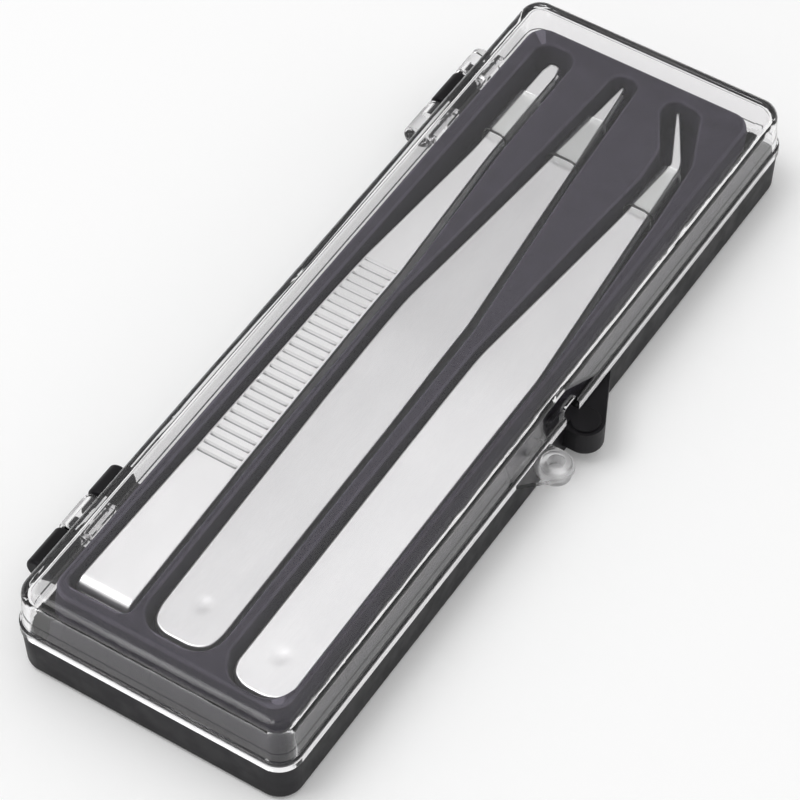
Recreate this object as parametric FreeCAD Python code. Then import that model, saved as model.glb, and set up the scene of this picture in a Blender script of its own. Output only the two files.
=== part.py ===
import FreeCAD, Part
import math
import os

# Precision tweezers set: three stainless tweezers with clear tip guards, held in a moulded tray
# insert inside a hinged plastic case with a black base and a clear lid.
# Millimetres.  +X runs along the case from the tweezers' butts to their tips, -Y is the latch side,
# +Y the hinge side, +Z up.  The origin is the centre of the base's bottom face.

os.makedirs("parts", exist_ok=True)

Vector = FreeCAD.Vector

# ---- case ----
CASE_LENGTH = 135.0           # over the lid's rim bead
CASE_WIDTH = 45.0
CORNER_RADIUS = 3.6
PARTING_Z = 7.2               # height of the plane where base and lid meet
PARTING_GAP = 0.1             # space between the two rims
CASE_HEIGHT = 16.0
RIM_STEP = 0.15               # the base's rim is this much inside the lid's bead

BASE_WALL = 1.5
BASE_FLOOR = 1.4
BASE_DRAFT = 0.25             # how far each wall leans in from rim to floor
BASE_EDGE = 1.0
BASE_WELL_EDGE = 0.8

LID_WALL = 1.2
LID_TOP = 1.2
LID_DRAFT = 0.35
LID_EDGE = 1.8
LID_INNER_EDGE = 1.0
BEAD_STEP = 0.3               # how far the bead stands out of the lid's wall
BEAD_HEIGHT = 1.6
BEAD_EDGE = 0.25

# ---- hinges: two groups of three knuckles on the +Y side ----
HINGE_Y = 25.25
HINGE_GROUP_X = (-47.4, 48.4)           # the middle of each group
KNUCKLE_LENGTHS = (7.2, 6.6, 5.8)       # from the -X end of a group to its +X end
KNUCKLE_RADIUS = 1.85
KNUCKLE_EDGE = 0.5
KNUCKLE_GAP = 0.3
WEB_INSET = 0.4               # each web is this much shorter than its knuckle at both ends
PIVOT_RADIUS = 0.95
PIVOT_LENGTH = 2.4
PIVOT_CLEARANCE = 0.06
PIVOT_ROOT = 0.5              # how deep each pivot stub is rooted in its knuckle

# ---- latch: two thumb tabs and a snap tongue on the -Y side ----
BASE_TAB_BOSS = (5.85, -24.1)           # centre of the boss
BASE_TAB_RADIUS = 2.85
BASE_TAB_Z = (2.55, 6.75)
BASE_TAB_REACH = 9.7          # from the boss's centre to where the tab's edge meets the wall
BASE_BOSS_RADIUS = 2.3
BASE_BOSS_RISE = 0.4          # how far the boss stands above its tab
BASE_BOSS_EDGE = 0.3
LID_TAB_BOSS = (-4.0, -25.2)
LID_TAB_RADIUS = 2.65
LID_TAB_THICKNESS = 0.8
LID_TAB_REACH = 6.2
LID_BOSS_RADIUS = 2.3
LID_BOSS_Z = (5.7, 8.7)
LID_BOSS_EDGE = 0.35
LID_BOSS_BORE = 1.25
LID_BOSS_FLOOR = 1.0
TONGUE_X = (0.5, 6.5)
TONGUE_Y = (-20.45, -19.75)
TONGUE_Z = (3.5, 9.1)
TONGUE_CORNER = 1.2
NOTCH_X = (3.3, 6.8)          # the gap in the lid's rim in front of the tongue
NOTCH_TOP = 10.2
NOTCH_CORNER = 0.8

# ---- tray insert ----
TRAY_TOP = 13.8
TRAY_TOP_HALF = (63.0, 18.75)
TRAY_FOOT_HALF = (64.9, 19.3)
TRAY_CORNER = 3.0
TRAY_EDGE = 0.8
TRAY_SKIN = 0.8
TRAY_FLANGE_HALF = (64.9, 19.9)
TRAY_FLANGE_CORNER = 2.0
TRAY_FLOOR_CLEARANCE = 0.05
CAVITY_FLOOR = 8.2

# ---- tweezers ----
MID_Z = 11.2                  # plane between the two arms of each pair
SEAM = 0.06                   # gap between a butt and its arms
MAX_HALF_WIDTH = 9.0          # half width of the cutting shapes, wider than any arm
RIB_COUNT = 27
RIB_START = 27.8
RIB_PITCH = 1.6
RIB_GROOVE_RADIUS = 0.55
RIB_GROOVE_DEPTH = 0.28
WELD_X = 6.5
WELD_RADIUS = 9.0
WELD_DEPTH = 0.16
TIP_HALF_WIDTH = 0.25
TIP_CORNER = 0.2
GUARD_WALL = 0.35
GUARD_CLEARANCE = 0.08
GUARD_CORNER = 0.6            # inside the sleeve
GUARD_SIDE_SPACE = 0.34       # extra room beside the tips, where the flattened sleeve is slack


def export(shape, name):
    if not shape.isValid():
        print("invalid shape:", name)
    shape.exportStep("parts/" + name + ".step")
    box = shape.BoundBox
    print("%-22s solids %d  x %.2f..%.2f  y %.2f..%.2f  z %.2f..%.2f" % (
        name, len(shape.Solids), box.XMin, box.XMax, box.YMin, box.YMax, box.ZMin, box.ZMax))


def rounded_loop(corners):
    """A closed wire in the XY plane through (x, y, radius) corners, each rounded by a tangent arc."""
    edges = []
    ends = []
    count = len(corners)
    for i, (x, y, radius) in enumerate(corners):
        here = Vector(x, y, 0)
        before = Vector(corners[i - 1][0], corners[i - 1][1], 0)
        after = Vector(corners[(i + 1) % count][0], corners[(i + 1) % count][1], 0)
        to_before = (before - here).normalize()
        to_after = (after - here).normalize()
        half = to_before.getAngle(to_after) / 2
        if radius <= 0 or math.pi / 2 - half < 1e-4:
            ends.append((here, None, here))
            continue
        reach = radius / math.tan(half)
        start = here + to_before * reach
        end = here + to_after * reach
        towards = (to_before + to_after).normalize()
        middle = here + towards * (radius / math.sin(half) - radius)
        ends.append((start, middle, end))
    for i, (start, middle, end) in enumerate(ends):
        if middle is not None:
            edges.append(Part.Arc(start, middle, end).toShape())
        following = ends[(i + 1) % count][0]
        if (following - end).Length > 1e-6:
            edges.append(Part.makeLine(end, following))
    return Part.Wire(edges)


def prism(corners, z_low, z_high):
    """The rounded outline as an upright prism."""
    wire = rounded_loop(corners)
    wire.translate(Vector(0, 0, z_low))
    return Part.Face(wire).extrude(Vector(0, 0, z_high - z_low))


def side_prism(corners, half_width):
    """A side profile of (x, z, radius) corners, as wide as asked along Y."""
    wire = rounded_loop(corners)
    wire.rotate(Vector(0, 0, 0), Vector(1, 0, 0), 90)
    wire.translate(Vector(0, half_width, 0))
    return Part.Face(wire).extrude(Vector(0, -2 * half_width, 0))


def rounded_rectangle(half_x, half_y, radius):
    return [(half_x, half_y, radius), (-half_x, half_y, radius),
            (-half_x, -half_y, radius), (half_x, -half_y, radius)]


def drafted_block(low_half, high_half, radius, z_low, z_high):
    """A block with rounded upright corners whose footprint changes evenly with height."""
    low = rounded_loop(rounded_rectangle(low_half[0], low_half[1], radius))
    high = rounded_loop(rounded_rectangle(high_half[0], high_half[1], radius))
    low.translate(Vector(0, 0, z_low))
    high.translate(Vector(0, 0, z_high))
    return Part.makeLoft([low, high], True, True)


def grown(half, amount):
    return (half[0] + amount, half[1] + amount)


def edges_at(shape, z):
    """The edges that lie wholly at height z."""
    found = []
    for edge in shape.Edges:
        box = edge.BoundBox
        if abs(box.ZMin - z) < 1e-4 and abs(box.ZMax - z) < 1e-4:
            found.append(edge)
    return found


RIM_HALF = (CASE_LENGTH / 2, CASE_WIDTH / 2)
BASE_RIM_Z = PARTING_Z - PARTING_GAP / 2
LID_RIM_Z = PARTING_Z + PARTING_GAP / 2


# ---- hinges ----

def knuckle_spans(group):
    """The (low, high) X of the three knuckles of one hinge group, 0 or 1."""
    total = sum(KNUCKLE_LENGTHS) + 2 * KNUCKLE_GAP
    x = HINGE_GROUP_X[group] - total / 2
    spans = []
    for length in KNUCKLE_LENGTHS:
        spans.append((x, x + length))
        x += length + KNUCKLE_GAP
    return spans


def bar(x_low, x_high, radius):
    """A round bar on the hinge axis."""
    return Part.makeCylinder(radius, x_high - x_low, Vector(x_low, HINGE_Y, PARTING_Z), Vector(1, 0, 0))


def knuckle(span, z_side):
    """One knuckle with the web that joins it to the wall below (-1) or above (+1) the parting plane."""
    barrel = bar(span[0], span[1], KNUCKLE_RADIUS)
    rims = [edge for edge in barrel.Edges if edge.BoundBox.XLength < 1e-3 and edge.BoundBox.YLength > 1]
    barrel = barrel.makeFillet(KNUCKLE_EDGE, rims)
    wall_y = RIM_HALF[1] - BASE_WALL + 0.3
    if z_side < 0:
        z_low, z_high = PARTING_Z - KNUCKLE_RADIUS, BASE_RIM_Z
    else:
        z_low, z_high = LID_RIM_Z, PARTING_Z + KNUCKLE_RADIUS
    web = Part.makeBox(span[1] - span[0] - 2 * WEB_INSET, HINGE_Y - wall_y, z_high - z_low,
                       Vector(span[0] + WEB_INSET, wall_y, z_low))
    return barrel.fuse(web)


def base_knuckles():
    """Two outer knuckles in the first group and the middle one in the second, with their pivot stubs."""
    reach = KNUCKLE_GAP + PIVOT_LENGTH
    first, _, last = knuckle_spans(0)
    middle = knuckle_spans(1)[1]
    shapes = [knuckle(span, -1) for span in (first, last, middle)]
    shapes.append(bar(first[1] - PIVOT_ROOT, first[1] + reach, PIVOT_RADIUS))
    shapes.append(bar(last[0] - reach, last[0] + PIVOT_ROOT, PIVOT_RADIUS))
    shapes.append(bar(middle[0] - reach, middle[1] + reach, PIVOT_RADIUS))
    return shapes


def lid_knuckles():
    """The knuckles that sit between and beside the base's, bored for its pivot stubs."""
    bore = PIVOT_RADIUS + PIVOT_CLEARANCE
    depth = PIVOT_LENGTH + 0.3
    middle = knuckle_spans(0)[1]
    first, _, last = knuckle_spans(1)
    shapes = [knuckle(middle, 1).cut(bar(middle[0] - 1, middle[1] + 1, bore))]
    shapes.append(knuckle(first, 1).cut(bar(first[1] - depth, first[1] + 1, bore)))
    shapes.append(knuckle(last, 1).cut(bar(last[0] - 1, last[0] + depth, bore)))
    return shapes


# ---- latch ----

def thumb_tab(boss, radius, wing, reach, z_low, z_high):
    """A tab that is round about its boss and runs in a straight line to the wall, towards wing (-1 or +1)."""
    wall = -RIM_HALF[1]
    inside = wall + 1.0
    meet = Vector(boss[0] + wing * reach, wall, 0)
    to_meet = meet - Vector(boss[0], boss[1], 0)
    half_turn = math.asin(radius / to_meet.Length)
    slope = math.atan2(to_meet.y, abs(to_meet.x)) + half_turn
    side_x = boss[0] - wing * radius
    corner_y = wall - (reach + radius) * math.tan(slope)
    outline = [(side_x, inside, 0), (side_x, corner_y, radius), (meet.x, wall, 0), (meet.x, inside, 0)]
    return prism(outline, z_low, z_high)


def boss_cylinder(boss, radius, z_low, z_high, edge):
    """An upright boss whose top and bottom edges are rounded."""
    shape = Part.makeCylinder(radius, z_high - z_low, Vector(boss[0], boss[1], z_low))
    return shape.makeFillet(edge, edges_at(shape, z_low) + edges_at(shape, z_high))


def base_tab():
    z_low, z_high = BASE_TAB_Z
    tab = thumb_tab(BASE_TAB_BOSS, BASE_TAB_RADIUS, 1, BASE_TAB_REACH, z_low, z_high)
    tab = tab.makeFillet(0.3, edges_at(tab, z_low))
    root = 1.0
    boss = Part.makeCylinder(BASE_BOSS_RADIUS, root + BASE_BOSS_RISE,
                             Vector(BASE_TAB_BOSS[0], BASE_TAB_BOSS[1], z_high - root))
    boss = boss.makeFillet(BASE_BOSS_EDGE, edges_at(boss, z_high + BASE_BOSS_RISE))
    return tab.fuse(boss)


def lid_tab():
    """A thin tab with a hollow boss that also hangs below the parting plane, clear of the base's wall."""
    z_low = LID_RIM_Z
    tab = thumb_tab(LID_TAB_BOSS, LID_TAB_RADIUS, -1, LID_TAB_REACH, z_low, z_low + LID_TAB_THICKNESS)
    return tab.fuse(boss_cylinder(LID_TAB_BOSS, LID_BOSS_RADIUS, LID_BOSS_Z[0], LID_BOSS_Z[1], LID_BOSS_EDGE))


def lid_tab_bore():
    return Part.makeCylinder(LID_BOSS_BORE, LID_BOSS_Z[1] - LID_BOSS_Z[0],
                             Vector(LID_TAB_BOSS[0], LID_TAB_BOSS[1], LID_BOSS_Z[0] + LID_BOSS_FLOOR))


def upright_plate(x_span, z_span, corner, y_low, y_high):
    """A plate across Y whose two top corners are rounded."""
    middle = (x_span[0] + x_span[1]) / 2
    low, high = z_span
    outline = [(x_span[0] - middle, low, 0), (x_span[1] - middle, low, 0),
               (x_span[1] - middle, high, corner), (x_span[0] - middle, high, corner)]
    plate = side_prism(outline, (y_high - y_low) / 2)
    plate.translate(Vector(middle, (y_low + y_high) / 2, 0))
    return plate


def snap_tongue():
    """An upright tongue inside the lid's wall, tied to the base's wall below the parting plane."""
    blade = upright_plate(TONGUE_X, TONGUE_Z, TONGUE_CORNER, TONGUE_Y[0], TONGUE_Y[1])
    wall = -RIM_HALF[1] + BASE_WALL / 2
    tie = Part.makeBox(TONGUE_X[1] - TONGUE_X[0], TONGUE_Y[1] - wall, BASE_RIM_Z - 0.6 - TONGUE_Z[0],
                       Vector(TONGUE_X[0], wall, TONGUE_Z[0]))
    return blade.fuse(tie)


def lid_notch():
    """The gap in the lid's rim that shows the tongue."""
    outside = -RIM_HALF[1] - 1
    return upright_plate(NOTCH_X, (LID_RIM_Z - 1, NOTCH_TOP), NOTCH_CORNER, outside, outside + 3)


# ---- case halves ----

def case_base():
    rim = grown(RIM_HALF, -RIM_STEP)
    foot = grown(rim, -BASE_DRAFT)
    body = drafted_block(foot, rim, CORNER_RADIUS, 0, BASE_RIM_Z)
    body = body.makeFillet(BASE_EDGE, edges_at(body, 0))
    well = drafted_block(grown(foot, -BASE_WALL), grown(rim, -BASE_WALL), CORNER_RADIUS - BASE_WALL,
                         BASE_FLOOR, BASE_RIM_Z + 0.01)
    well = well.makeFillet(BASE_WELL_EDGE, edges_at(well, BASE_FLOOR))
    body = body.cut(well)
    return body.multiFuse(base_knuckles() + [base_tab(), snap_tongue()]).removeSplitter()


def case_lid():
    wall = grown(RIM_HALF, -BEAD_STEP)
    top = grown(wall, -LID_DRAFT)
    body = drafted_block(wall, top, CORNER_RADIUS - BEAD_STEP, LID_RIM_Z, CASE_HEIGHT)
    body = body.makeFillet(LID_EDGE, edges_at(body, CASE_HEIGHT))
    bead = prism(rounded_rectangle(RIM_HALF[0], RIM_HALF[1], CORNER_RADIUS),
                 LID_RIM_Z, LID_RIM_Z + BEAD_HEIGHT)
    bead = bead.makeFillet(BEAD_EDGE, edges_at(bead, LID_RIM_Z + BEAD_HEIGHT))
    inner_corner = CORNER_RADIUS - BEAD_STEP - LID_WALL
    hollow = drafted_block(grown(wall, -LID_WALL), grown(top, -LID_WALL), inner_corner,
                           LID_RIM_Z - 0.01, CASE_HEIGHT - LID_TOP)
    hollow = hollow.makeFillet(LID_INNER_EDGE, edges_at(hollow, CASE_HEIGHT - LID_TOP))
    body = body.multiFuse([bead] + lid_knuckles() + [lid_tab()])
    return body.cut(hollow).cut(lid_tab_bore()).cut(lid_notch()).removeSplitter()


# ---- tweezers ----
# Each pair has its own axes: x from its butt end to its tip, y across, z from the mid plane.
# place is (x, y, turn) in the case.  plan is a list of (x, half width, corner radius) from butt to tip.
# inner and outer are the two faces of the upper arm as (x, z), with start_z for each at the butt.
# guard is (rear x, front x, half width of the tips at the rear, half width at the front).
# bend is (length, degrees) of a tip that turns towards +Y.

BLUNT = {
    "place": (-59.6, 12.5, 0.0),
    "butt_end": 3.0,
    "plan": [(0.0, 4.3, 0.5), (25.0, 3.75, 8.0), (27.5, 3.65, 8.0), (70.0, 3.0, 20.0), (97.0, 1.3, 20.0),
             (118.0, 1.15, 1.0)],
    "start_z": (0.9, 1.8),
    "inner": [(60.0, 1.7), (97.0, 0.6), (118.0, 0.6)],
    "outer": [(60.0, 2.6), (97.0, 1.25), (118.0, 1.1)],
    "guard": (100.0, 110.2, 1.28, 1.22),
    "bend": None,
}
STRAIGHT = {
    "place": (-59.6, 0.3, 0.6),
    "butt_end": 14.0,
    "plan": [(0.0, 2.3, 4.0), (1.05, 4.35, 2.7), (3.6, 5.0, 7.0), (45.0, 5.2, 60.0), (66.0, 5.0, 30.0),
             (98.0, 2.25, 30.0), (119.2, TIP_HALF_WIDTH, TIP_CORNER)],
    "start_z": (0.05, 0.95),
    "inner": [(60.0, 1.6), (97.0, 0.6), (119.2, 0.6)],
    "outer": [(60.0, 2.55), (97.0, 1.25), (119.2, 1.0)],
    "guard": (101.0, 111.0, 1.98, 1.04),
    "bend": None,
}
BENT = {
    "place": (-61.0, -13.0, 0.0),
    "butt_end": 14.0,
    "plan": [(0.0, 1.9, 4.5), (1.1, 3.95, 2.3), (2.9, 4.62, 3.5), (45.0, 4.6, 60.0), (64.0, 4.6, 30.0),
             (98.0, 1.7, 30.0), (111.1, 0.75, 4.0)],
    "start_z": (0.05, 0.95),
    "inner": [(60.0, 1.6), (97.0, 0.6), (122.0, 0.6)],
    "outer": [(60.0, 2.55), (97.0, 1.25), (122.0, 1.0)],
    "guard": (99.8, 109.8, 1.6, 0.88),
    "bend": (10.7, 28.5),
}


def put(shape, pair):
    """Moves a piece from its pair's own axes to its place in the case."""
    x, y, turn = pair["place"]
    shape = shape.copy()
    shape.rotate(Vector(0, 0, 0), Vector(0, 0, 1), turn)
    shape.translate(Vector(x, y, MID_Z))
    return shape


def mirrored_down(shape):
    return shape.mirror(Vector(0, 0, 0), Vector(0, 0, 1))


def plan_outline(pair):
    """The whole pair's outline seen from above, with the bent tip if it has one."""
    plan = pair["plan"]
    left = [(x, half, radius) for x, half, radius in plan]
    right = [(x, -half, radius) for x, half, radius in reversed(plan)]
    if pair["bend"] is None:
        return left + right
    length, degrees = pair["bend"]
    turn = math.radians(degrees)
    x = plan[-1][0] + length * math.cos(turn)
    y = length * math.sin(turn)
    across = (-TIP_HALF_WIDTH * math.sin(turn), TIP_HALF_WIDTH * math.cos(turn))
    tip = [(x + across[0], y + across[1], TIP_CORNER), (x - across[0], y - across[1], TIP_CORNER)]
    return left + tip + right


def arm(pair):
    """The upper arm, from its butt to the tip: the plan outline cut to the arm's side profile."""
    start = pair["butt_end"] + SEAM
    inner_start, outer_start = pair["start_z"]
    past_tip = 3.0
    bow_radii = (120.0, 60.0)
    inner, outer = pair["inner"], pair["outer"]
    side = [(start, inner_start, 0)]
    side += [(x, z, radius) for (x, z), radius in zip(inner, bow_radii)]
    side += [(inner[-1][0] + past_tip, inner[-1][1], 0), (outer[-1][0] + past_tip, outer[-1][1], 0)]
    side += [(x, z, radius) for (x, z), radius in reversed(list(zip(outer, bow_radii)))]
    side.append((start, outer_start, 0))
    return prism(plan_outline(pair), -1, 5).common(side_prism(side, MAX_HALF_WIDTH))


def rib_grooves(upper):
    """Round-bottomed grooves across the arm's outer face, which leave ribs between them."""
    bars = []
    for i in range(RIB_COUNT):
        x = RIB_START + i * RIB_PITCH
        slice_here = upper.common(Part.makeBox(0.02, 0.5, 6, Vector(x, -0.25, -1)))
        z = slice_here.BoundBox.ZMax + RIB_GROOVE_RADIUS - RIB_GROOVE_DEPTH
        bars.append(Part.makeCylinder(RIB_GROOVE_RADIUS, 2 * MAX_HALF_WIDTH,
                                      Vector(x, -MAX_HALF_WIDTH, z), Vector(0, 1, 0)))
    return Part.makeCompound(bars)


def folded_profile(radius, x_start, x_end):
    """Side profile of a half-round fold, open towards the tip."""
    almost = radius * 0.98
    return [(x_start, radius, almost), (x_end, radius, 0), (x_end, -radius, 0), (x_start, -radius, almost)]


def blunt_bow():
    """The folded end of the strip that both blunt arms grow from."""
    inner_radius, outer_radius = BLUNT["start_z"]
    end = BLUNT["butt_end"]
    outside = side_prism(folded_profile(outer_radius, 0, end), MAX_HALF_WIDTH)
    inside = side_prism(folded_profile(inner_radius, outer_radius - inner_radius, end + 1),
                        MAX_HALF_WIDTH + 1)
    return outside.cut(inside).common(prism(plan_outline(BLUNT), -5, 5))


def welded_butt(pair):
    """The rounded ends of two flat arms, welded into one, with the weld's oval dimple above and below."""
    half = pair["start_z"][1]
    end = pair["butt_end"]
    block = prism(plan_outline(pair), -half, half)
    block = block.common(Part.makeBox(end + 1, 2 * MAX_HALF_WIDTH, 4, Vector(-1, -MAX_HALF_WIDTH, -2)))
    dimple = Part.makeSphere(WELD_RADIUS, Vector(WELD_X, 0, half + WELD_RADIUS - WELD_DEPTH))
    return block.cut(dimple).cut(mirrored_down(dimple))


def sleeve_section(x, half_y, half_z, corner):
    """A rounded flat section across the tips, as a wire."""
    wire = rounded_loop(rounded_rectangle(half_y, half_z, corner))
    wire.rotate(Vector(0, 0, 0), Vector(1, 0, 0), 90)
    wire.rotate(Vector(0, 0, 0), Vector(0, 0, 1), 90)
    wire.translate(Vector(x, 0, 0))
    return wire


def tip_guard(pair):
    """A flattened clear sleeve that holds the two tips together."""
    x_low, x_high, rear, front = pair["guard"]
    half_z = pair["outer"][1][1] + GUARD_CLEARANCE
    rear += GUARD_CLEARANCE + GUARD_SIDE_SPACE
    front += GUARD_CLEARANCE + GUARD_SIDE_SPACE
    slope = (front - rear) / (x_high - x_low)
    wall = GUARD_WALL
    corner = GUARD_CORNER + wall
    outer = Part.makeLoft([sleeve_section(x_low, rear + wall, half_z + wall, corner),
                           sleeve_section(x_high, front + wall, half_z + wall, corner)], True, True)
    inner = Part.makeLoft([sleeve_section(x_low - 1, rear - slope, half_z, GUARD_CORNER),
                           sleeve_section(x_high + 1, front + slope, half_z, GUARD_CORNER)], True, True)
    return outer.cut(inner)


# ---- tray insert ----
# Each cavity is a list of (x, y, corner radius) in the case's axes, round its pair of tweezers.

CAVITIES = [
    [(-60.9, 17.6, 1.5), (-60.9, 7.3, 1.5), (-30.0, 8.0, 20.0), (11.0, 8.3, 20.0), (38.0, 9.6, 20.0),
     (60.2, 9.7, 2.6), (60.2, 16.1, 2.6)],
    [(-61.0, 5.1, 4.0), (-61.0, -4.9, 4.0), (-57.0, -5.8, 6.0), (6.0, -5.2, 20.0), (38.0, -2.3, 20.0),
     (60.4, -0.9, 1.8), (60.4, 3.2, 2.0), (40.0, 4.6, 20.0), (6.0, 7.3, 20.0), (-15.0, 7.1, 30.0),
     (-57.0, 6.3, 6.0)],
    [(-62.2, -9.3, 4.0), (-62.2, -16.6, 4.0), (-58.0, -18.1, 5.0), (3.0, -18.1, 20.0), (38.0, -16.6, 20.0),
     (50.0, -15.6, 8.0), (59.9, -11.5, 2.5), (60.4, -6.2, 1.9), (57.0, -6.2, 2.5), (50.5, -10.0, 6.0),
     (44.0, -10.5, 10.0), (30.0, -9.3, 20.0), (3.0, -7.4, 20.0), (-58.0, -7.4, 5.0)],
]


def grown_outline(corners, amount):
    """The outline's wire moved outwards by the amount."""
    return rounded_loop(corners).makeOffset2D(amount, join=0)


def insert_tray():
    foot_z = BASE_FLOOR + TRAY_FLOOR_CLEARANCE
    block = drafted_block(TRAY_FOOT_HALF, TRAY_TOP_HALF, TRAY_CORNER, foot_z, TRAY_TOP)
    block = block.makeFillet(TRAY_EDGE, edges_at(block, TRAY_TOP))
    flange = prism(rounded_rectangle(TRAY_FLANGE_HALF[0], TRAY_FLANGE_HALF[1], TRAY_FLANGE_CORNER),
                   foot_z, foot_z + TRAY_SKIN)
    hollow = drafted_block(grown(TRAY_FOOT_HALF, -TRAY_SKIN), grown(TRAY_TOP_HALF, -TRAY_SKIN),
                           TRAY_CORNER - TRAY_SKIN, foot_z - 0.01, TRAY_TOP - TRAY_SKIN)
    for corners in CAVITIES:
        wire = grown_outline(corners, TRAY_SKIN * 0.6)
        wire.translate(Vector(0, 0, CAVITY_FLOOR - TRAY_SKIN))
        hollow = hollow.cut(Part.Face(wire).extrude(Vector(0, 0, TRAY_TOP - CAVITY_FLOOR + 2)))
    tray = block.fuse(flange).cut(hollow)
    for corners in CAVITIES:
        tray = tray.cut(prism(corners, CAVITY_FLOOR, TRAY_TOP + 1))
    return tray


def main():
    export(case_base(), "case_base")
    export(case_lid(), "case_lid")
    export(insert_tray(), "insert_tray")
    export(put(blunt_bow(), BLUNT), "blunt_bow")
    export(put(welded_butt(STRAIGHT), STRAIGHT), "straight_butt")
    export(put(welded_butt(BENT), BENT), "bent_butt")
    for name, pair in (("blunt", BLUNT), ("straight", STRAIGHT), ("bent", BENT)):
        upper = arm(pair)
        if pair is BLUNT:
            upper = upper.cut(rib_grooves(upper))
        export(put(upper, pair), name + "_upper_arm")
        export(put(mirrored_down(upper), pair), name + "_lower_arm")
        export(put(tip_guard(pair), pair), name + "_tip_guard")


main()
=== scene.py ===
"""Precision tweezers set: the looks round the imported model.

Lengths in the tables below are in millimetres, in the frame of the model: +X runs along the case from the
tweezers' butts to their tips, -Y is the latch side and +Z is up.  Blender's own objects are in metres.
"""
import bpy
import bmesh
import math
import numpy as np
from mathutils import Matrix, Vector


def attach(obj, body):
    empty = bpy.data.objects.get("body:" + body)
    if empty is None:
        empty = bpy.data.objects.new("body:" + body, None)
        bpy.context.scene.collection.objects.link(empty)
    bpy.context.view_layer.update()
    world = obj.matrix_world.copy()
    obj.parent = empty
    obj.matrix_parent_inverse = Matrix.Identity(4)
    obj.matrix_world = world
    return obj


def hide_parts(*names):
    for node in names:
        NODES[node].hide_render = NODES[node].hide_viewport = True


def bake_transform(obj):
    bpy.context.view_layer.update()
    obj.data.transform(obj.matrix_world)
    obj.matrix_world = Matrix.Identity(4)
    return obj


MM = 0.001

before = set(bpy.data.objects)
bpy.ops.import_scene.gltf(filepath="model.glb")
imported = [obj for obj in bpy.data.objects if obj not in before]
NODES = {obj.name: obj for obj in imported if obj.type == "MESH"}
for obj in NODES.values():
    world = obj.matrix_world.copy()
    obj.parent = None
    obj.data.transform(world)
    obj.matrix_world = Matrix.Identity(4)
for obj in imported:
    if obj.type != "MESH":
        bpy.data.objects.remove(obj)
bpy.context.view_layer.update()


# ---------------------------------------------------------------- camera, floor and light

CAMERA_PLACE = Vector((-288.6, -181.2, 419.4)) * MM
CAMERA_TARGET = Vector((-5.4, -0.3, 7.2)) * MM
CAMERA_LENS = 169.3
CAMERA_SENSOR = 36.0


def add_camera():
    data = bpy.data.cameras.new("camera")
    data.sensor_width = CAMERA_SENSOR
    data.lens = CAMERA_LENS
    data.clip_start = 0.01
    data.clip_end = 20.0
    camera = bpy.data.objects.new("camera", data)
    camera.location = CAMERA_PLACE
    camera.rotation_euler = (CAMERA_TARGET - CAMERA_PLACE).to_track_quat("-Z", "Y").to_euler()
    bpy.context.scene.collection.objects.link(camera)
    bpy.context.scene.camera = camera


# (name, place, the point it faces, size) in metres, and power in watts
LIGHTS = (
    ("overhead", (-0.25, 0.30, 0.80), (0, 0, 0), (0.5, 0.5), 2.2),
    ("edge_strip", (0.45, -0.60, 0.28), (0, 0, 0.01), (0.6, 0.3), 0.5),
)


def add_area_light(name, place, target, size, power):
    data = bpy.data.lights.new(name, "AREA")
    data.shape = "RECTANGLE"
    data.size = size[0]
    data.size_y = size[1]
    data.energy = power
    light = bpy.data.objects.new(name, data)
    light.location = place
    light.rotation_euler = (Vector(target) - Vector(place)).to_track_quat("-Z", "Y").to_euler()
    bpy.context.scene.collection.objects.link(light)


# (sine of the height above the horizon, grey), from 0 at the horizon to 1 overhead
SKY = ((0.0, 0.42), (0.66, 0.62), (0.86, 0.99), (1.0, 0.72))


def add_world():
    """A plain studio: pale overhead, darker towards the horizon."""
    world = bpy.data.worlds.new("studio")
    bpy.context.scene.world = world
    world.use_nodes = True
    nodes = world.node_tree.nodes
    links = world.node_tree.links
    nodes.clear()
    coordinates = nodes.new("ShaderNodeTexCoord")
    separate = nodes.new("ShaderNodeSeparateXYZ")
    ramp = nodes.new("ShaderNodeValToRGB")
    background = nodes.new("ShaderNodeBackground")
    output = nodes.new("ShaderNodeOutputWorld")
    stops = ramp.color_ramp.elements
    for height, grey in SKY[1:-1]:
        stops.new(height).color = (grey, grey, grey, 1)
    for stop, (_, grey) in ((stops[0], SKY[0]), (stops[-1], SKY[-1])):
        stop.color = (grey, grey, grey, 1)
    background.inputs["Strength"].default_value = 1.0
    links.new(coordinates.outputs["Generated"], separate.inputs[0])
    links.new(separate.outputs["Z"], ramp.inputs[0])
    links.new(ramp.outputs["Color"], background.inputs["Color"])
    links.new(background.outputs[0], output.inputs["Surface"])


FLOOR_HALF = 3.0          # metres
FLOOR_GAP = 0.0001        # metres between the floor and the case, so that they don't flicker
FLOOR_GLOW = 0.06


def add_stage():
    bpy.context.scene.view_settings.view_transform = "Standard"
    add_world()
    for light in LIGHTS:
        add_area_light(*light)
    mesh = bpy.data.meshes.new("floor")
    corners = [(x * FLOOR_HALF, y * FLOOR_HALF, 0) for x, y in ((-1, -1), (1, -1), (1, 1), (-1, 1))]
    mesh.from_pydata(corners, [], [(0, 1, 2, 3)])
    floor = bpy.data.objects.new("floor", mesh)
    floor.location.z = -FLOOR_GAP
    bpy.context.scene.collection.objects.link(floor)
    paint = Paint("studio_floor", (0.95, 0.95, 0.95), 0.9)
    paint.set("Emission Color", (1, 1, 1, 1))
    paint.set("Emission Strength", FLOOR_GLOW)
    mesh.materials.append(paint.material)


# ---------------------------------------------------------------- materials

MIX_COLOURS = (6, 7)      # the colour inputs of a Mix node, which come after its number and vector inputs
MIX_RESULT = 2


def rgba(value):
    """A colour with full alpha, from a grey or an (r, g, b)."""
    return (*value, 1) if hasattr(value, "__len__") else (value, value, value, 1)


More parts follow.
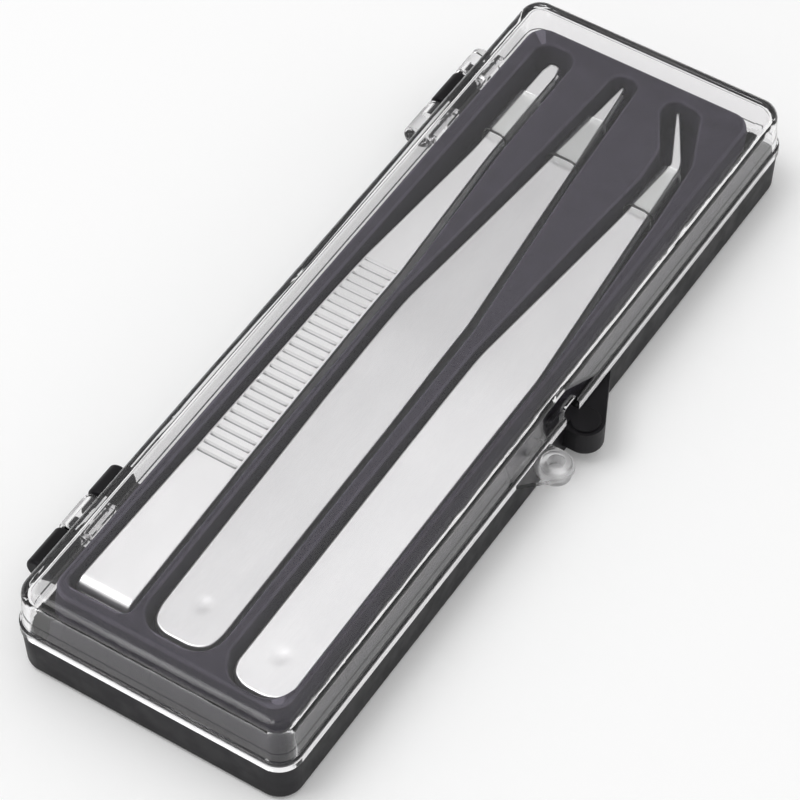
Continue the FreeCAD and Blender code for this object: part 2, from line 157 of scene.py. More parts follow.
class Paint:
    """A Principled material with helpers that add its procedural detail."""

    def __init__(self, name, colour, roughness, metallic=0.0):
        self.material = bpy.data.materials.new(name)
        self.material.use_nodes = True
        self.tree = self.material.node_tree
        self.shader = self.tree.nodes["Principled BSDF"]
        self.output = self.tree.nodes["Material Output"]
        self.set("Base Color", (*colour, 1))
        self.set("Roughness", roughness)
        self.set("Metallic", metallic)
        self.place = None

    def set(self, name, value):
        self.shader.inputs[name].default_value = value

    def node(self, kind, **values):
        made = self.tree.nodes.new(kind)
        for name, value in values.items():
            made.inputs[name].default_value = value
        return made

    def link(self, source, target):
        self.tree.links.new(source, target)

    def object_place(self):
        """Object coordinates in metres, from one node that all the detail shares."""
        if self.place is None:
            self.place = self.node("ShaderNodeTexCoord").outputs["Object"]
        return self.place

    def position(self, stretch=(1, 1, 1)):
        """Object coordinates in millimetres, divided by the stretch along each axis."""
        mapping = self.node("ShaderNodeMapping")
        mapping.inputs["Scale"].default_value = [1 / (MM * s) for s in stretch]
        self.link(self.object_place(), mapping.inputs["Vector"])
        return mapping.outputs["Vector"]

    def noise(self, size, detail=2.0, stretch=(1, 1, 1), rough=0.5):
        """Noise with features about size millimetres across, and longer along the stretched axes."""
        texture = self.node("ShaderNodeTexNoise", Scale=1 / size, Detail=detail, Roughness=rough)
        self.link(self.position(stretch), texture.inputs["Vector"])
        return texture.outputs["Fac"]

    def ramp(self, value, low, high, start=0.35, end=0.65):
        """Maps a noise value to a colour or grey between low and high."""
        made = self.tree.nodes.new("ShaderNodeValToRGB")
        first, last = made.color_ramp.elements
        first.position, last.position = start, end
        first.color = rgba(low)
        last.color = rgba(high)
        self.link(value, made.inputs[0])
        return made.outputs["Color"]

    def mix(self, share, first, second):
        """The first colour where share is 0, turning to the second where it is 1."""
        made = self.tree.nodes.new("ShaderNodeMix")
        made.data_type = "RGBA"
        self.link(share, made.inputs["Factor"])
        for place, colour in zip(MIX_COLOURS, (first, second)):
            if isinstance(colour, bpy.types.NodeSocket):
                self.link(colour, made.inputs[place])
            else:
                made.inputs[place].default_value = rgba(colour)
        return made.outputs[MIX_RESULT]

    def sums(self, *values):
        """The sum of (value, weight) pairs."""
        total = None
        for value, weight in values:
            scaled = self.tree.nodes.new("ShaderNodeMath")
            scaled.operation = "MULTIPLY_ADD"
            scaled.inputs[1].default_value = weight
            scaled.inputs[2].default_value = 0
            self.link(value, scaled.inputs[0])
            if total is not None:
                self.link(total, scaled.inputs[2])
            total = scaled.outputs[0]
        return total

    def bump(self, height, depth, strength=1.0):
        """Bump of the given depth in millimetres."""
        made = self.node("ShaderNodeBump", Strength=strength, Distance=depth * MM)
        self.link(height, made.inputs["Height"])
        self.link(made.outputs["Normal"], self.shader.inputs["Normal"])

    def near(self, centre, inner, outer):
        """1 within inner millimetres of the centre, 0 beyond outer."""
        gap = self.tree.nodes.new("ShaderNodeVectorMath")
        gap.operation = "DISTANCE"
        gap.inputs[1].default_value = [c * MM for c in centre]
        self.link(self.object_place(), gap.inputs[0])
        limits = {"From Min": inner * MM, "From Max": outer * MM, "To Min": 1.0, "To Max": 0.0}
        share = self.node("ShaderNodeMapRange", **limits)
        self.link(gap.outputs["Value"], share.inputs["Value"])
        return share.outputs["Result"]

    def feed(self, value, name):
        self.link(value, self.shader.inputs[name])

    def pointiness(self):
        """About 0.5 on flat faces, more on convex edges and less in hollows."""
        return self.tree.nodes.new("ShaderNodeNewGeometry").outputs["Pointiness"]

    def lighten_convex_edges(self, colour, edge_colour, start=0.52, end=0.60):
        """The colour, turning to the edge colour on convex edges: a painted highlight along them."""
        share = self.ramp(self.pointiness(), 0.0, 1.0, start, end)
        return self.mix(share, colour, edge_colour)

    def paint_shade_in_hollows(self, colour, shade_colour, start=0.44, end=0.49):
        """The colour, turning to the shade colour in grooves: painted shade in the hollows."""
        share = self.ramp(self.pointiness(), 1.0, 0.0, start, end)
        return self.mix(share, colour, shade_colour)

    def let_lamps_through(self, share):
        """Shadow rays pass straight through the clear material, losing a little."""
        path = self.tree.nodes.new("ShaderNodeLightPath")
        clear = self.tree.nodes.new("ShaderNodeBsdfTransparent")
        clear.inputs["Color"].default_value = (share, share, share, 1)
        mixed = self.tree.nodes.new("ShaderNodeMixShader")
        self.link(path.outputs["Is Shadow Ray"], mixed.inputs[0])
        self.link(self.shader.outputs[0], mixed.inputs[1])
        self.link(clear.outputs[0], mixed.inputs[2])
        self.link(mixed.outputs[0], self.output.inputs["Surface"])


def black_plastic():
    """Moulded black polystyrene: a fine spark grain, soft swirls of gloss and slightly paler edges, partly
    wear and partly a painted highlight.
    """
    paint = Paint("black_polystyrene", (0.012, 0.0115, 0.013), 0.3)
    tone = paint.ramp(paint.noise(6.0, 3), (0.005, 0.0045, 0.0055), (0.009, 0.0085, 0.010))
    # paler convex edges: partly wear, partly a painted highlight
    paint.feed(paint.lighten_convex_edges(tone, (0.016, 0.015, 0.018)), "Base Color")
    paint.feed(paint.ramp(paint.noise(3.0, 4), 0.38, 0.50), "Roughness")
    paint.set("IOR", 1.59)
    paint.set("Specular IOR Level", 0.12)
    height = paint.sums((paint.noise(0.22, 2), 0.6), (paint.noise(2.4, 2), 0.4))
    paint.bump(height, 0.012, 0.6)
    return paint.material


LID_BOSS = (-4.0, -25.2, 7.2)      # middle of the hollow boss on the lid's thumb tab


def clear_plastic():
    """Clear polystyrene: glassy, with faint flow waves and scuffs, and frosted at the thumb tab's boss."""
    paint = Paint("clear_polystyrene", (0.985, 0.98, 0.985), 0.03)
    paint.set("Transmission Weight", 1.0)
    paint.set("IOR", 1.38)
    scuffs = paint.sums((paint.noise(0.25, 3, (30, 1, 1)), 0.5), (paint.noise(5.0, 2), 0.5))
    frosted = paint.near(LID_BOSS, 2.9, 3.3)
    paint.feed(paint.mix(frosted, paint.ramp(scuffs, 0.015, 0.06), (0.5, 0.5, 0.5)), "Roughness")
    paint.bump(paint.noise(9.0, 1, (2.5, 1, 1)), 0.006, 0.3)
    paint.let_lamps_through(0.86)
    return paint.material


def flocked_tray():
    """Thermoformed sheet with a flocked face: matte, faintly mottled, with a soft nap sheen and a painted
    highlight on its rounded rims.
    """
    paint = Paint("flocked_sheet", (0.085, 0.078, 0.100), 0.9)
    mottle = paint.sums((paint.noise(0.35, 3), 0.5), (paint.noise(3.5, 3), 0.5))
    tone = paint.ramp(mottle, (0.025, 0.0218, 0.032), (0.038, 0.033, 0.048))
    # the much paler colour on the convex rims is a painted highlight
    paint.feed(paint.lighten_convex_edges(tone, (0.12, 0.11, 0.14), 0.512, 0.54), "Base Color")
    paint.feed(paint.ramp(paint.noise(0.8, 2), 0.74, 0.92), "Roughness")
    paint.set("Specular IOR Level", 0.08)
    paint.set("Sheen Weight", 0.04)
    paint.set("Sheen Roughness", 0.4)
    height = paint.sums((paint.noise(0.12, 2), 0.6), (paint.noise(0.5, 3), 0.4))
    paint.bump(height, 0.05, 0.55)
    return paint.material


def brushed_steel(name, low, high, roughness):
    """Satin stainless strip: fine scratches along the arms, a little uneven, with a soft bright face and
    painted shade in its grooves.
    """
    paint = Paint(name, high, roughness[0], 1.0)
    long_grain = paint.noise(0.10, 3, (60, 1, 1), 0.6)
    patches = paint.noise(5.0, 3, (2.5, 1, 1))
    speck = paint.noise(0.3, 2, (2, 1, 1))
    tone = paint.sums((long_grain, 0.4), (patches, 0.35), (speck, 0.25))
    # the grooves get a darker colour: painted shade
    paint.feed(paint.paint_shade_in_hollows(paint.ramp(tone, low, high), (0.46, 0.46, 0.465)), "Base Color")
    paint.feed(paint.ramp(paint.sums((long_grain, 0.6), (patches, 0.4)), *roughness), "Roughness")
    paint.bump(paint.sums((long_grain, 0.7), (speck, 0.3)), 0.004, 0.5)
    return paint.material


def clear_vinyl():
    """Soft clear sleeve: slightly hazy, faintly rippled along its length."""
    paint = Paint("clear_vinyl", (0.93, 0.94, 0.93), 0.12)
    paint.set("Transmission Weight", 1.0)
    paint.set("IOR", 1.53)
    paint.feed(paint.ramp(paint.noise(0.8, 3), 0.06, 0.2), "Roughness")
    paint.bump(paint.noise(1.1, 2, (3, 1, 1)), 0.03, 0.5)
    paint.let_lamps_through(0.85)
    return paint.material


# ---------------------------------------------------------------- outlines

LINE_STEP = 2.0           # longest straight piece of an outline
ARC_STEP = math.radians(9)


def rounded_outline(corners, closed=True, line_step=LINE_STEP):
    """Points along (x, y, radius) corners, each rounded by a tangent arc, and the normals to their right.

    Round a closed outline that runs anticlockwise the normals point outwards.
    """
    points = [Vector(corner[:2]) for corner in corners]
    radii = [corner[2] for corner in corners]
    count = len(points)
    places = []
    normals = []
    for i in range(count):
        here = points[i]
        if not closed and i in (0, count - 1):
            other = points[1] if i == 0 else points[count - 2]
            along = (other - here).normalized() * (1 if i == 0 else -1)
            arc = [(here, Vector((along.y, -along.x)))]
        else:
            arc = corner_arc(points[i - 1], here, points[(i + 1) % count], radii[i])
        if places:
            fill_line(places, normals, arc[0], line_step)
        for place, normal in arc:
            places.append(place)
            normals.append(normal)
    if closed:
        fill_line(places, normals, (places[0], normals[0]), line_step)
    return np.array([tuple(p) for p in places]), np.array([tuple(n) for n in normals])


def fill_line(places, normals, following, line_step):
    """Adds evenly spaced points between the last point and the following one."""
    start = places[-1]
    end, _ = following
    pieces = int(math.ceil((end - start).length / line_step))
    along = (end - start).normalized() if (end - start).length > 1e-9 else Vector((1, 0))
    for k in range(1, pieces):
        places.append(start.lerp(end, k / pieces))
        normals.append(Vector((along.y, -along.x)))


def corner_arc(before, here, after, radius):
    """The (point, right-hand normal) pairs round one corner."""
    incoming = (here - before).normalized()
    outgoing = (after - here).normalized()
    turn = -incoming.angle_signed(outgoing)
    right = Vector((incoming.y, -incoming.x))
    if abs(turn) < 1e-4:
        return [(here, right)]
    if radius <= 0:
        middle = (right + Vector((outgoing.y, -outgoing.x))).normalized()
        return [(here, middle)]
    reach = radius * math.tan(abs(turn) / 2)
    start = here - incoming * reach
    side = 1 if turn > 0 else -1
    centre = start - right * radius * side
    steps = max(2, int(math.ceil(abs(turn) / ARC_STEP)))
    arc = []
    for k in range(steps + 1):
        angle = turn * k / steps
        normal = Vector((right.x * math.cos(angle) - right.y * math.sin(angle),
                         right.x * math.sin(angle) + right.y * math.cos(angle)))
        arc.append((centre + normal * radius * side, normal))
    return arc


# ---------------------------------------------------------------- meshes

SHARP_ANGLE = math.radians(38)
MERGE_WITHIN = 1e-7       # metres


def new_piece(name, vertices, faces, material):
    """A smooth-shaded object from vertices in millimetres."""
    mesh = bpy.data.meshes.new(name)
    mesh.from_pydata([tuple(float(c) * MM for c in v) for v in vertices], [], faces)
    shaped = bmesh.new()
    shaped.from_mesh(mesh)
    bmesh.ops.remove_doubles(shaped, verts=shaped.verts, dist=MERGE_WITHIN)
    bmesh.ops.recalc_face_normals(shaped, faces=shaped.faces)
    shaped.to_mesh(mesh)
    shaped.free()
    mesh.shade_smooth()
    mesh.set_sharp_from_angle(angle=SHARP_ANGLE)
    mesh.materials.append(material)
    piece = bpy.data.objects.new(name, mesh)
    bpy.context.scene.collection.objects.link(piece)
    return piece


def bridge(faces, first, second, count):
    """Quads between two rings of count vertices that start at the given indices."""
    for i in range(count):
        j = (i + 1) % count
        faces.append((first + i, first + j, second + j, second + i))


def stack_rings(rings):
    """Vertices and side faces of closed rings that all have as many points."""
    vertices = []
    faces = []
    count = len(rings[0])
    for k, ring in enumerate(rings):
        vertices.extend(ring)
        if k:
            bridge(faces, (k - 1) * count, k * count, count)
    return vertices, faces


def planar_fill(loops):
    """Triangles of the flat region between an outer loop and its holes, as (vertices, faces)."""
    filled = bmesh.new()
    for loop in loops:
        made = [filled.verts.new(tuple(p)) for p in loop]
        for i, vertex in enumerate(made):
            filled.edges.new((vertex, made[(i + 1) % len(made)]))
    bmesh.ops.triangle_fill(filled, use_beauty=True, use_dissolve=False, edges=filled.edges[:])
    filled.verts.index_update()
    vertices = [tuple(v.co) for v in filled.verts]
    faces = [tuple(v.index for v in face.verts) for face in filled.faces]
    filled.free()
    return vertices, faces


def joined(parts):
    """One list of vertices and one of faces from several."""
    vertices = []
    faces = []
    for some_vertices, some_faces in parts:
        start = len(vertices)
        vertices.extend(some_vertices)
        faces.extend(tuple(start + i for i in face) for face in some_faces)
    return vertices, faces


# ---------------------------------------------------------------- tray insert

TRAY_TOP = 13.8
TRAY_FOOT = 1.45
CAVITY_FLOOR = 8.2
TRAY_TOP_HALF = (63.0, 18.75)
TRAY_FOOT_HALF = (64.9, 19.3)
TRAY_CORNER = 3.0
TRAY_SHOULDER = 0.6       # radius of the tray's outer top edge
FLANGE_HALF = (64.8, 19.9)
FLANGE_RISE = 0.6         # height over which the outer wall spreads into the flange
SHEET = 0.8               # thickness of the formed sheet
RIM = 0.45                # radius of a cavity's rim
FLOOR_FILLET = 0.9
CAVITY_DRAFT = 0.12
RIM_STEPS = 5
FILLET_STEPS = 6

CAVITIES = [
    [(-60.9, 17.6, 1.5), (-60.9, 7.3, 1.5), (-30.0, 8.0, 20.0), (11.0, 8.3, 20.0), (38.0, 9.6, 20.0),
     (60.2, 9.7, 2.6), (60.2, 16.1, 2.6)],
    [(-61.0, 5.1, 4.0), (-61.0, -4.9, 4.0), (-57.0, -5.8, 6.0), (6.0, -5.2, 20.0), (38.0, -2.3, 20.0),
     (60.4, -0.9, 1.8), (60.4, 3.2, 2.0), (40.0, 4.6, 20.0), (6.0, 7.3, 20.0), (-15.0, 7.1, 30.0),
     (-57.0, 6.3, 6.0)],
    [(-62.2, -9.3, 4.0), (-62.2, -16.6, 4.0), (-58.0, -18.1, 5.0), (3.0, -18.1, 20.0), (38.0, -16.6, 20.0),
     (50.0, -15.6, 8.0), (59.9, -11.5, 2.5), (60.4, -6.2, 1.9), (57.0, -6.2, 2.5), (50.5, -10.0, 6.0),
     (44.0, -10.5, 10.0), (30.0, -9.3, 20.0), (3.0, -7.4, 20.0), (-58.0, -7.4, 5.0)],
]


def rectangle(half_x, half_y, radius):
    return [(-half_x, -half_y, radius), (half_x, -half_y, radius),
            (half_x, half_y, radius), (-half_x, half_y, radius)]


def quarter(steps):
    """Angles of a quarter turn, ends included."""
    return [math.pi / 2 * k / steps for k in range(steps + 1)]


def cavity_profile():
    """(outward offset, z) pairs from a cavity's rim down its wall to its floor."""
    profile = []
    for angle in quarter(RIM_STEPS):
        profile.append((RIM * (1 - math.sin(angle)), TRAY_TOP - RIM * (1 - math.cos(angle))))
    for angle in quarter(FILLET_STEPS):
        inwards = FLOOR_FILLET * (1 - math.cos(angle))
        profile.append((-CAVITY_DRAFT - inwards, CAVITY_FLOOR + FLOOR_FILLET * (1 - math.sin(angle))))
    return profile


def ring_at(points, normals, offset, z):
    moved = points + normals * offset
    return [(x, y, z) for x, y in moved]


def tray_insert(material):
    """The formed tray: three cavities with soft rims in a block with rounded shoulders and a flange."""
    parts = []
    top_loops = []
    for corners in CAVITIES:
        points, normals = rounded_outline(corners)
        rings = [ring_at(points, normals, offset, z) for offset, z in cavity_profile()]
        parts.append(stack_rings(rings))
        parts.append(planar_fill([rings[-1]]))
        top_loops.append(rings[0])
    outer = outer_rings()
    parts.append(stack_rings(outer))
    parts.append(planar_fill([outer[0]] + top_loops))
    parts.append(planar_fill([outer[-1]]))
    vertices, faces = joined(parts)
    tray = new_piece("tray_insert", vertices, faces, material)
    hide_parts("insert_tray")
    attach(tray, "case")


def outer_rings():
    """The tray's outside from the inner edge of its shoulder down to the bottom of its flange."""
    top, normals = rounded_outline(rectangle(*TRAY_TOP_HALF, TRAY_CORNER))
    rings = []
    for angle in quarter(FILLET_STEPS):
        inwards = TRAY_SHOULDER * (1 - math.sin(angle))
        rings.append(ring_at(top, normals, -inwards, TRAY_TOP - TRAY_SHOULDER * (1 - math.cos(angle))))
    foot_z = TRAY_FOOT + SHEET
    foot = top + np.sign(top) * (np.array(TRAY_FOOT_HALF) - np.array(TRAY_TOP_HALF))
    rings.append([(x, y, foot_z + FLANGE_RISE) for x, y in foot])
    flange = top + np.sign(top) * (np.array(FLANGE_HALF) - np.array(TRAY_TOP_HALF))
    rings.append([(x, y, foot_z) for x, y in flange])
    rings.append([(x, y, TRAY_FOOT) for x, y in flange])
    return rings


# ---------------------------------------------------------------- tweezers

MID_Z = 11.2
RIB_COUNT = 27
RIB_START = 27.8
RIB_PITCH = 1.6
RIB_DEPTH = 0.56
RIB_HALF_WIDTH = 0.33
RIB_EDGE = 0.30           # width of the plain band beside the grooves, where they run out
RIB_EDGE_FADE = 0.20
WELD_X = 6.5
WELD_HALF_LENGTH = 1.9
WELD_HALF_WIDTH = 1.5
WELD_DEPTH = 0.13
BEND_SPREAD = 1.4         # half the length over which the bent pair's tips turn
FACE_RADII = (120.0, 60.0)  # of the two gentle bends in an arm's thickness profile
PAST_TIP = 3.0            # the thickness profile is carried on this far past the tip
TIP_HALF = 0.25

PAIRS = {
    "blunt": {
        "place": (-59.6, 12.5, 0.0),
        "plan": [(0.0, 4.3, 0.5), (25.0, 3.75, 8.0), (27.5, 3.65, 8.0), (70.0, 3.0, 20.0), (97.0, 1.3, 20.0),
                 (118.0, 1.15, 1.0)],
        "start_z": (0.9, 1.8),
        "inner": [(60.0, 1.7), (97.0, 0.6), (118.0, 0.6)],
        "outer": [(60.0, 2.6), (97.0, 1.25), (118.0, 1.1)],
        "butt": "blunt_bow",
        "butt_end": 3.0,
        "guard": (100.0, 110.2, 1.28, 1.22),
        "bend": None,
    },
    "straight": {
        "place": (-59.6, 0.3, 0.6),
        "plan": [(0.0, 2.3, 4.0), (1.05, 4.35, 2.7), (3.6, 5.0, 7.0), (45.0, 5.2, 60.0), (66.0, 5.0, 30.0),
                 (98.0, 2.25, 30.0), (119.2, TIP_HALF, 0.2)],
        "start_z": (0.05, 0.95),
        "inner": [(60.0, 1.6), (97.0, 0.6), (119.2, 0.6)],
        "outer": [(60.0, 2.55), (97.0, 1.25), (119.2, 1.0)],
        "butt": "straight_butt",
        "butt_end": 14.0,
        "guard": (101.0, 111.0, 1.98, 1.04),
        "bend": None,
    },
    "bent": {
        "place": (-61.0, -13.0, 0.0),
        "plan": [(0.0, 1.9, 4.5), (1.1, 3.95, 2.3), (2.9, 4.62, 3.5), (45.0, 4.6, 60.0), (64.0, 4.6, 30.0),
                 (98.0, 1.7, 30.0), (111.1, 0.75, 4.0)],
        "start_z": (0.05, 0.95),
        "inner": [(60.0, 1.6), (97.0, 0.6), (122.0, 0.6)],
        "outer": [(60.0, 2.55), (97.0, 1.25), (122.0, 1.0)],
        "butt": "bent_butt",
        "butt_end": 14.0,
        "guard": (99.8, 109.8, 1.6, 0.88),
        "bend": (10.7, 28.5),
    },
}

FACE_EDGE = 0.34          # rounded edge of an arm's outer face
INNER_EDGE = 0.10
ACROSS = 17               # points across the flat of an outer face
BEVEL_STEPS = (0.0, 0.04, 0.10, 0.18, 0.27, 0.34, 0.42, 0.50)
BEVEL_SHARE = 0.8         # the most of the half width that a rounded edge may take
THICK_SHARE = 0.45        # and of the arm's thickness
SLOPE_STEP = 0.02
STEEPEST = 6.0            # slope of the outline past which the bevel isn't widened further

STATION_RUNS = ((0.5, 3.2, 0.22), (3.4, 12.0, 0.45))  # (from, to, step) of the rings near the butt
LONG_START = 12.5
LONG_STEP = 1.5
SHORT_OF_TIP = 0.5        # the evenly spaced rings stop this far before the tip
BEND_RINGS = (2.2, 0.2)   # reach each side of the bend, and step
AFTER_BEND = (2.4, 0.6)   # start after the bend, and step
CLOSEST_RINGS = 0.012


def smooth(t):
    t = np.clip(t, 0.0, 1.0)
    return t * t * (3 - 2 * t)


class Arm:
    """The upper arm of a pair, as a strip swept from its butt to its tip, in the pair's own axes."""

    def __init__(self, pair):
        self.pair = pair
        self.folded = pair["butt"] == "blunt_bow"
        plan = pair["plan"]
        self.end = plan[-1][0]
        if pair["bend"]:
            length, degrees = pair["bend"]
            plan = plan + [(self.end + length, TIP_HALF, 0.0)]
            self.end += length
            self.turn_at = pair["plan"][-1][0]
            self.turn = math.radians(degrees)
        outline = [(0.0, 0.0, 0.0)] + plan + [(self.end, 0.0, 0.0)]
        self.edge, _ = rounded_outline(outline, closed=False, line_step=0.5)
        wide = self.edge[self.edge[:, 1] > 1e-6]
        self.wide_x, self.wide_y = wide[:, 0], wide[:, 1]
        inner_start, outer_start = pair["start_z"]
        self.inner = self.side(inner_start, pair["inner"])
        self.outer = self.side(outer_start, pair["outer"])

    def side(self, start, points):
        """The (x, z) line of one face, from the butt through the points and past the tip."""
        profile = [(0.0, start, 0.0)] + [(x, z, r) for (x, z), r in zip(points, FACE_RADII)]
        profile.append((points[-1][0] + PAST_TIP, points[-1][1], 0.0))
        line, _ = rounded_outline(profile, closed=False, line_step=1.0)
        return line

    def half_width(self, s):
        return float(np.interp(s, self.wide_x, self.wide_y))

    def centre(self, s):
        """The place (x, y) and heading of the arm's middle line at distance s from the butt."""
        if not self.pair["bend"]:
            return s, 0.0, 0.0
        fine = np.linspace(0.0, max(s, 0.01), 400)
        heading = self.turn * smooth((fine - self.turn_at + BEND_SPREAD) / (2 * BEND_SPREAD))
        x = np.trapz(np.cos(heading), fine)
        y = np.trapz(np.sin(heading), fine)
        return x, y, float(heading[-1])

    def depth_in(self, s, u):
        """How far the point u across at s lies inside the arm's outline."""
        here = np.array((s, abs(u)))
        start = self.edge[:-1]
        along = self.edge[1:] - start
        length = np.maximum((along ** 2).sum(1), 1e-12)
        share = np.clip(((here - start) * along).sum(1) / length, 0.0, 1.0)
        nearest = start + along * share[:, None]
        return float(np.hypot(*(here - nearest).T).min())

    def stations(self):
        """Distances along the arm, close together at the ends, the ribs and the bend."""
        places = [FACE_EDGE * (1 - math.cos(a)) for a in quarter(6)]
        for run in STATION_RUNS:
            places += list(np.arange(*run))
        places += list(np.arange(LONG_START, self.end - SHORT_OF_TIP, LONG_STEP))
        places += [self.end - FACE_EDGE * (1 - math.cos(a)) for a in quarter(4)]
        if self.folded:
            for i in range(RIB_COUNT):
                centre = RIB_START + i * RIB_PITCH
                places += [centre + share * RIB_HALF_WIDTH for share in (-1.0, -0.5, 0.0, 0.5, 1.0)]
                places.append(centre + RIB_PITCH / 2)
        if self.pair["bend"]:
            reach, step = BEND_RINGS
            places += list(np.arange(self.turn_at - reach, self.turn_at + reach, step))
            after, step = AFTER_BEND
            places += list(np.arange(self.turn_at + after, self.end - SHORT_OF_TIP, step))
        places = sorted(places)
        kept = [places[0]]
        for place in places[1:]:
            if place - kept[-1] > CLOSEST_RINGS:
                kept.append(place)
        return kept


def groove_depth(s, inside):
    """How deep the V-shaped rib grooves are at s, that far inside the outline."""
    turn = (s - RIB_START) / RIB_PITCH
    if turn < -0.5 or turn > RIB_COUNT - 0.5:
        return 0.0
    phase = abs(turn - round(turn)) * RIB_PITCH
    run_out = smooth((inside - RIB_EDGE) / RIB_EDGE_FADE)
    return RIB_DEPTH * max(0.0, 1 - phase / RIB_HALF_WIDTH) * float(run_out)


def places_across(arm, s, half, edge):
    """Places across the outer face at s, from side to side, close together on its rounded edges."""
    slope = (arm.half_width(s + SLOPE_STEP) - arm.half_width(max(s - SLOPE_STEP, 0.0))) / (2 * SLOPE_STEP)
    oblique = math.sqrt(1 + min(abs(slope), STEEPEST) ** 2)
    offsets = []
    for k, step in enumerate(BEVEL_STEPS):
        inset = min(step * edge / FACE_EDGE * oblique, half * BEVEL_SHARE * k / (len(BEVEL_STEPS) - 1))
        offsets.append(half - inset)
    flat = offsets[-1]
    across = [flat * (1 - 2 * k / (ACROSS - 1)) for k in range(ACROSS)]
    return offsets[:-1] + across + [-u for u in reversed(offsets[:-1])]


def outer_height(arm, s, u, top, edge):
    """The height of the outer face at s and u, below its top at its rounded edge, grooves and weld."""
    depth = arm.depth_in(s, u)
    inside = min(depth, edge)
    drop = edge - math.sqrt(max(edge ** 2 - (edge - inside) ** 2, 0.0))
    if arm.folded:
        return top - max(drop, groove_depth(s, depth))
    return top - drop - weld_depth(s, u)


def inner_face(half, z_in):
    """The (u, z) points of the inner face, with its small bevels."""
    bevel = min(INNER_EDGE, 0.3 * half)
    flat = [(share * half, z_in) for share in (-0.5, 0.0, 0.5)]
    near_side = [(-half, z_in + bevel), (-half + bevel, z_in)]
    far_side = [(half - bevel, z_in), (half, z_in + bevel)]
    return near_side + flat + far_side


def arm_ring(arm, s, sign):
    """The points of the arm's section at s, across its outer face and back across its inner face."""
    half = arm.half_width(s)
    x, y, heading = arm.centre(s)
    z_in = float(np.interp(x, arm.inner[:, 0], arm.inner[:, 1]))
    z_out = float(np.interp(x, arm.outer[:, 0], arm.outer[:, 1]))
    edge = min(FACE_EDGE, THICK_SHARE * (z_out - z_in), BEVEL_SHARE * half)
    ring = [(u, outer_height(arm, s, u, z_out, edge)) for u in places_across(arm, s, half, edge)]
    ring += inner_face(half, z_in)
    if arm.folded:
        return [bow_point(arm.pair, s, u, z, sign) for u, z in ring]
    cos, sin = math.cos(heading), math.sin(heading)
    return [(x - u * sin, y + u * cos, z * sign) for u, z in ring]


def weld_depth(s, u):
    """The shallow oval dimple that the spot weld leaves."""
    reach = math.hypot((s - WELD_X) / WELD_HALF_LENGTH, u / WELD_HALF_WIDTH)
    return WELD_DEPTH * float(1 - smooth(reach))


def bow_point(pair, s, u, z, sign):
    """A point of the blunt pair, whose strip folds back on itself at the butt."""
    inner, outer = pair["start_z"]
    middle = (inner + outer) / 2
    arc = middle * math.pi / 2
    if s < arc:
        angle = math.pi / 2 + (arc - s) / middle
        return (outer + z * math.cos(angle), u, z * math.sin(angle) * sign)
    return (outer + s - arc, u, z * sign)


def move_to_case(points, pair):
    """From a pair's own axes to the case's."""
    x0, y0, degrees = pair["place"]
    cos, sin = math.cos(math.radians(degrees)), math.sin(math.radians(degrees))
    return [(x0 + x * cos - y * sin, y0 + x * sin + y * cos, MID_Z + z) for x, y, z in points]


def swept_arm(name, level, pair, material):
    """One arm with its half of the butt, in a single piece shaped along the real strip's bends."""
    arm = Arm(pair)
    sign = 1 if level == "upper" else -1
    rings = [move_to_case(arm_ring(arm, s, sign), pair) for s in arm.stations()]
    vertices, faces = stack_rings(rings)
    count = len(rings[0])
    faces.append(tuple(range(count)))
    faces.append(tuple(range(len(vertices) - count, len(vertices))))
    piece = new_piece(name + "_" + level + "_strip", vertices, faces, material)
    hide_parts(name + "_" + level + "_arm")
    if level == "upper":
        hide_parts(pair["butt"])
    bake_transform(piece)


# ---------------------------------------------------------------- tip guards

GUARD_WALL = 0.35
GUARD_CLEARANCE = 0.08
GUARD_SIDE_SPACE = 0.34   # the flattened tube stands clear of the arms' edges
GUARD_SQUARENESS = 3.5    # 2 would make its section an ellipse
GUARD_AROUND = 56
GUARD_STEPS = 14
GUARD_DOME = 0.22         # how much its middle stands above its shoulders
REAR_FLARE = 0.40
FLARE_LENGTH = 1.2
FLARE_ACROSS = 0.15       # share of the flare that the sleeve's sides get
LIP_STEPS = 6


def sleeve_skin(x_low, x_high):
    """(x, offset from the bore) pairs once round the wall of a sleeve with rounded lips."""
    lip = GUARD_WALL / 2
    xs = [x_low + lip + (x_high - x_low - 2 * lip) * k / GUARD_STEPS for k in range(GUARD_STEPS + 1)]
    turn = [math.pi * k / LIP_STEPS for k in range(1, LIP_STEPS)]
    skin = [(x, GUARD_WALL) for x in xs]
    skin += [(xs[-1] + lip * math.sin(a), lip + lip * math.cos(a)) for a in turn]
    skin += [(x, 0.0) for x in reversed(xs)]
    skin += [(xs[0] - lip * math.sin(a), lip - lip * math.cos(a)) for a in turn]
    return skin


def squared_oval(half_y, half_z):
    """Points round an oval with flattened sides."""
    power = 2 / GUARD_SQUARENESS
    points = []
    for k in range(GUARD_AROUND):
        angle = 2 * math.pi * k / GUARD_AROUND
        across = math.copysign(abs(math.cos(angle)) ** power, math.cos(angle))
        up = math.copysign(abs(math.sin(angle)) ** power, math.sin(angle))
        points.append((half_y * across, half_z * up))
    return points


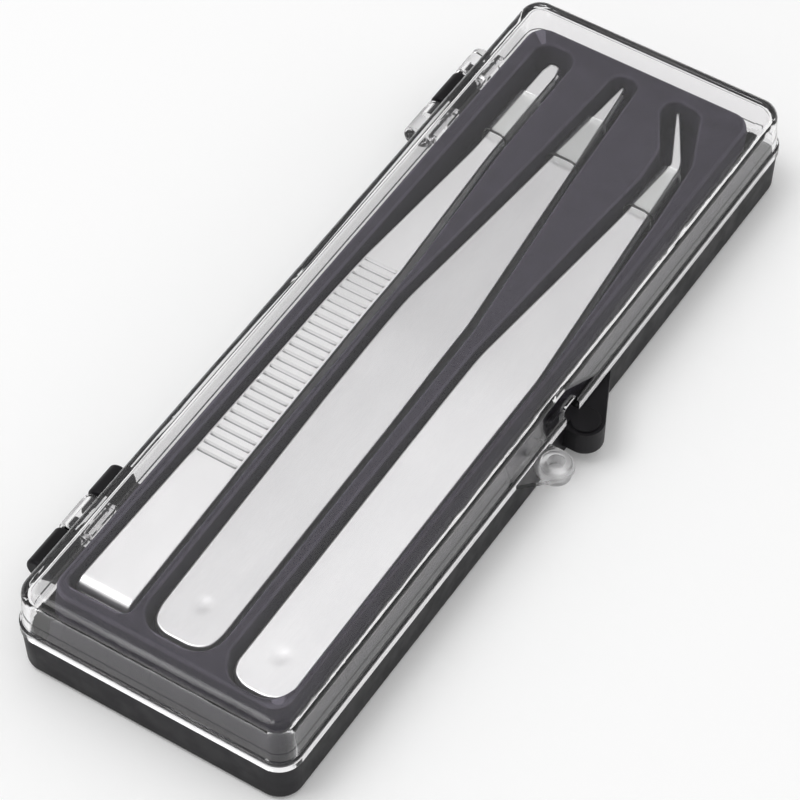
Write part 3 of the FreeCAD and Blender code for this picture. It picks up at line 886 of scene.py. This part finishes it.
def tip_guard(name, pair, material):
    """A thin flattened sleeve of soft clear vinyl over the two tips, a little flared at its rear end."""
    x_low, x_high, rear, front = pair["guard"]
    inner_z = pair["outer"][1][1] + GUARD_CLEARANCE + GUARD_DOME
    rings = []
    for x, offset in sleeve_skin(x_low, x_high):
        share = (x - x_low) / (x_high - x_low)
        flare = REAR_FLARE * float(1 - smooth((x - x_low) / FLARE_LENGTH))
        half_y = rear + (front - rear) * share + GUARD_CLEARANCE + GUARD_SIDE_SPACE
        half_y = half_y + offset + flare * FLARE_ACROSS
        half_z = inner_z + offset + flare
        section = [(x, u, v) for u, v in squared_oval(half_y, half_z)]
        rings.append(move_to_case(section, pair))
    vertices, faces = stack_rings(rings)
    count = len(rings[0])
    bridge(faces, len(vertices) - count, 0, count)
    sleeve = new_piece(name + "_sleeve", vertices, faces, material)
    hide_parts(name + "_tip_guard")
    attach(sleeve, name + "_guard")


# ---------------------------------------------------------------- the object

FLAT_WEIGHT = 90          # how strongly the large flat faces set the normals at their edges


def dress_case_half(node, material):
    """Gives a half of the case its plastic, and keeps its flat faces flat beside their rounded edges."""
    node.data.materials.clear()
    node.data.materials.append(material)
    weighted = node.modifiers.new("flat_faces", "WEIGHTED_NORMAL")
    weighted.keep_sharp = True
    weighted.weight = FLAT_WEIGHT


def main():
    add_camera()
    add_stage()
    # One steel in three copies: the pale and bright copies are lighter, which paints in the stronger
    # reflections that the bent and blunt pairs catch.
    satin = brushed_steel("satin_stainless", (0.76, 0.76, 0.765), (0.83, 0.83, 0.832), (0.28, 0.38))
    pale = brushed_steel("stainless_painted_lighter", (0.86, 0.86, 0.865), (0.93, 0.93, 0.93), (0.28, 0.38))
    bright = brushed_steel("stainless_painted_lightest", (0.91, 0.91, 0.91), (0.96, 0.96, 0.96), (0.29, 0.37))
    steels = {"blunt": bright, "straight": satin, "bent": pale}
    black = black_plastic()
    clear = clear_plastic()
    vinyl = clear_vinyl()
    flock = flocked_tray()
    dress_case_half(NODES["case_base"], black)
    dress_case_half(NODES["case_lid"], clear)
    tray_insert(flock)
    for name, pair in PAIRS.items():
        for level in ("upper", "lower"):
            swept_arm(name, level, pair, steels[name])
        tip_guard(name, pair, vinyl)


main()
